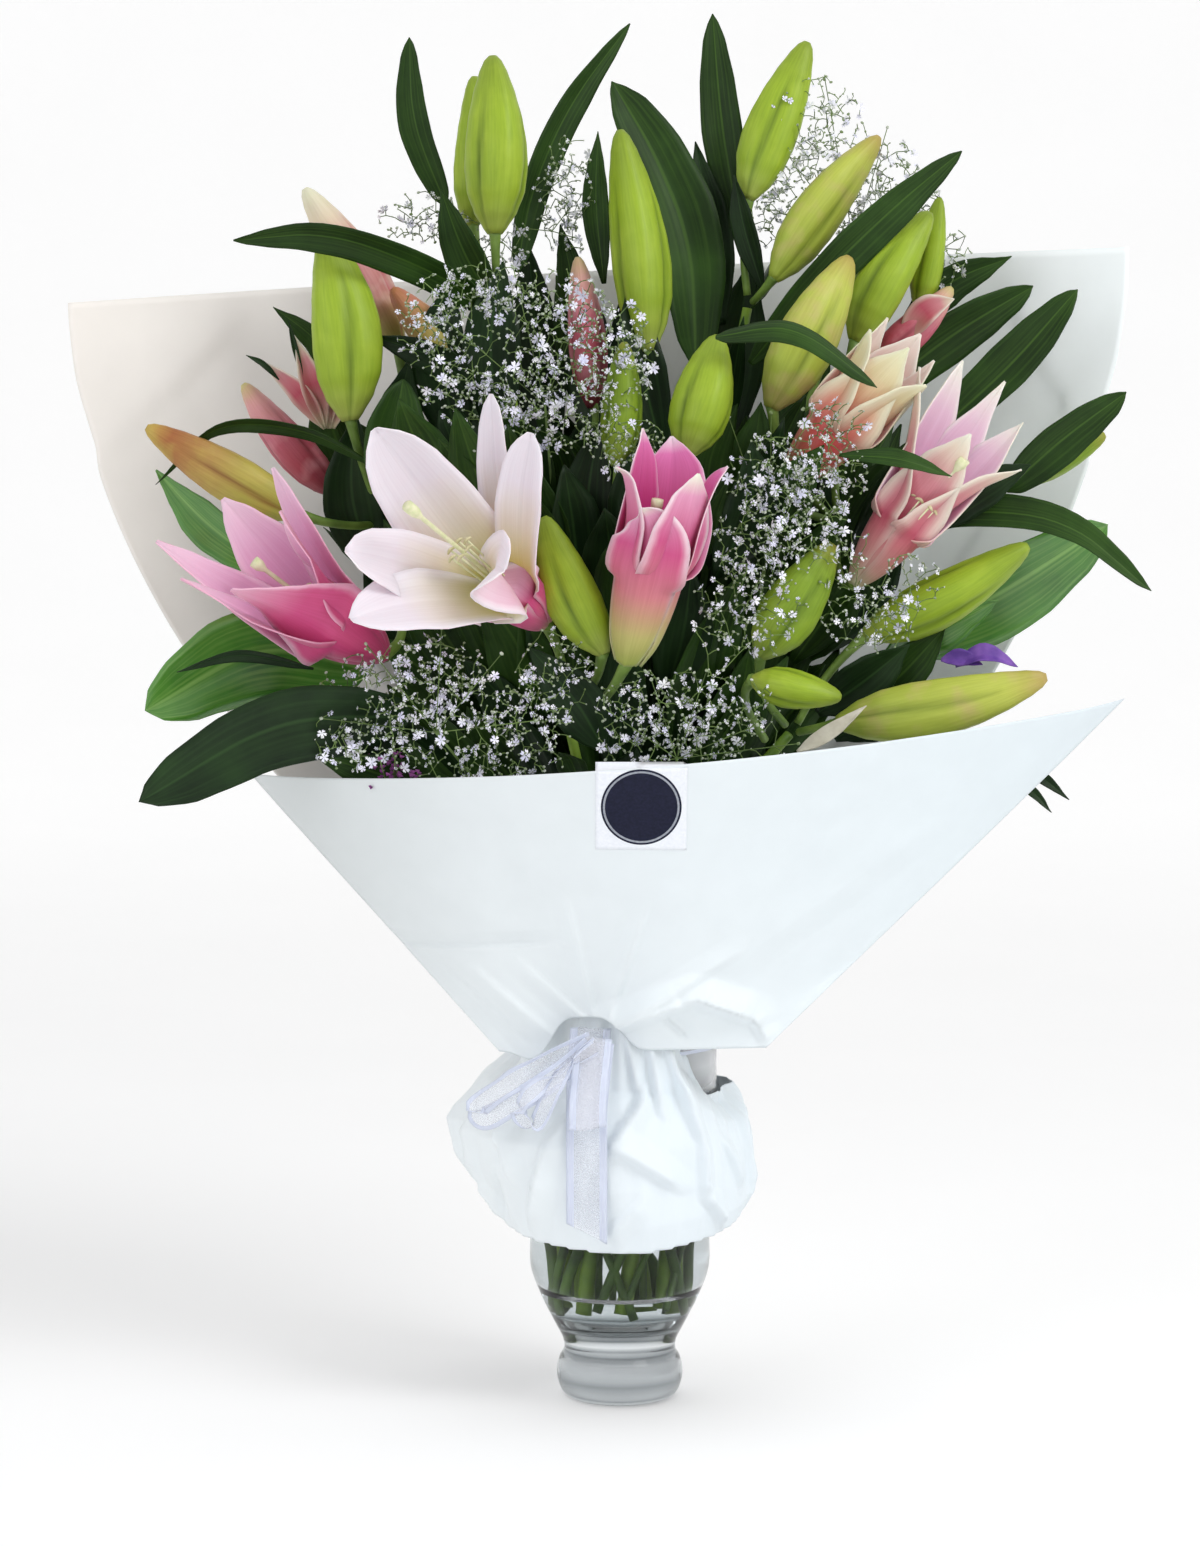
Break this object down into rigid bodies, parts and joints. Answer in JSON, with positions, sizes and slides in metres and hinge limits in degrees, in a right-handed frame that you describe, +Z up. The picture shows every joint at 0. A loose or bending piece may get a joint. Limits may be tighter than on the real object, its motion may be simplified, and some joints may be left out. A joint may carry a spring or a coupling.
{
  "type": "lilies in a vase",
  "caption": "Wrapped bouquet of pink lilies, lily buds, leaves and gypsophila standing in water in a clear footed glass vase, tied with a ribbon.",
  "frame": {"origin": "centre of the flat underside of the vase's foot", "axes": "+Z up along the vase's axis; the bouquet faces -Y, +X to its right as seen from the front"},
  "size_m": [0.5354, 0.2879, 0.697],
  "materials": {
    "glass": "clear polished",
    "water": "clear liquid",
    "stem": "satin, fibrous",
    "bud": "satin, ribbed",
    "petal": "soft satin",
    "leaf": "waxy",
    "spray": "soft matte",
    "paper": "matte",
    "ribbon": "sheer with satin edges",
    "seal": "coated"
  },
  "bodies": {
    "root": {"glass_vase": "glass", "water": "water", "stem_1": "stem", "stem_2": "stem", "stem_3": "stem", "stem_4": "stem", "stem_5": "stem", "stem_6": "stem", "stem_7": "stem", "bud_01": "bud", "bud_02": "bud", "bud_03": "bud", "bud_04": "bud", "bud_05": "bud", "bud_06": "bud", "bud_07": "bud", "bud_08": "bud", "bud_09": "bud", "bud_10": "bud", "bud_11": "bud", "bud_12": "bud", "bud_13": "bud", "bud_14": "bud", "bud_15": "bud", "bud_16": "bud", "bud_17": "bud", "bud_18": "bud", "bloom_open_pale": "petal", "bloom_open_left": "petal", "bloom_trumpet": "petal", "bloom_right": "petal", "bloom_half_open": "petal", "leaf_01": "leaf", "leaf_02": "leaf", "leaf_03": "leaf", "leaf_04": "leaf", "leaf_05": "leaf", "leaf_06": "leaf", "leaf_07": "leaf", "leaf_08": "leaf", "leaf_09": "leaf", "leaf_10": "leaf", "leaf_11": "leaf", "leaf_12": "leaf", "broad_leaf_1": "leaf", "broad_leaf_2": "leaf", "broad_leaf_3": "leaf", "gypsophila_1": "spray", "gypsophila_2": "spray", "gypsophila_3": "spray", "gypsophila_4": "spray", "gypsophila_5": "spray", "paper_back_sheet": "paper", "paper_front_sheet": "paper", "paper_skirt": "paper", "ribbon_band": "ribbon", "ribbon_loop": "ribbon", "ribbon_tail": "ribbon", "round_seal": "seal"}
  },
  "joints": []
}
